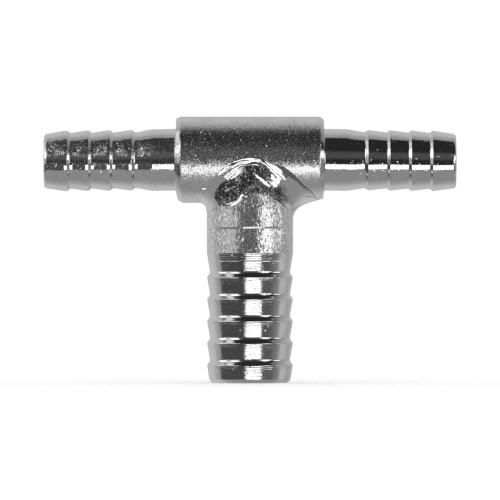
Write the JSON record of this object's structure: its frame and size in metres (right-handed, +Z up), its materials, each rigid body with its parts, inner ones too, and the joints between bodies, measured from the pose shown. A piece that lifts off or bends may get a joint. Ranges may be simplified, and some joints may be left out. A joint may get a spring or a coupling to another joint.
{
  "type": "welded barbed hose tee",
  "caption": "Stainless steel barbed hose tee: a turned run with a barbed tail at each end and a larger barbed stem welded square to its middle, drilled through to split or join a gas line.",
  "frame": {"origin": "centre of the stem's flat end face, which the tee stands on", "axes": "+Z up along the stem's axis to the run, +X along the run, -Y towards the side with the weld's stop crater"},
  "size_m": [0.0534, 0.0124, 0.0343],
  "materials": {
    "turned_steel": "turned and tumbled stainless steel, bright, with a fine sparkling grain",
    "weld_metal": "smooth, rippled, glossy weld metal, polished with the fitting"
  },
  "bodies": {
    "root": {"run_body": "turned_steel", "branch_stem": "turned_steel", "weld_bead": "weld_metal"}
  },
  "joints": []
}
